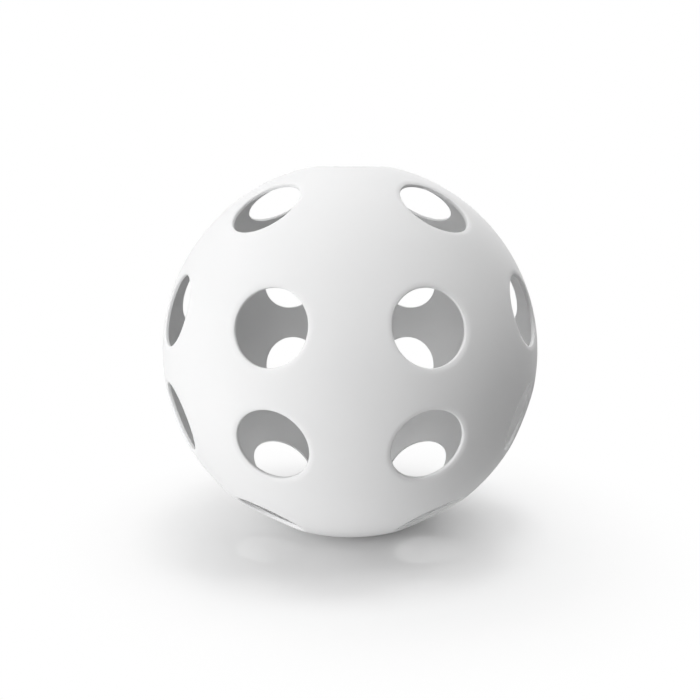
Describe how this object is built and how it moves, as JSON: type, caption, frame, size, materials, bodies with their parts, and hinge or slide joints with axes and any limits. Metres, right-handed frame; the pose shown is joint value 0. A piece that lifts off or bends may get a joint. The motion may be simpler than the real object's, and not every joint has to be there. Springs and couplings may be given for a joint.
{
  "type": "perforated plastic baseball",
  "caption": "Hollow white plastic practice baseball with round air holes all over, moulded in two half shells that are lapped and welded at the equator.",
  "frame": {"origin": "centre of the ball", "axes": "+Z along the ball's symmetry axis, out of the upper polar hole; the seam lies in the plane z = 0; -Y is the side that the picture looks at, midway between two holes of each ring beside the seam"},
  "size_m": [0.073, 0.073, 0.0716],
  "materials": {
    "shell": "satin moulded white polyethylene",
    "weld": "melted white polyethylene"
  },
  "bodies": {
    "root": {"upper_half_shell": "shell", "lower_half_shell": "shell", "weld_bead": "weld"}
  },
  "joints": []
}
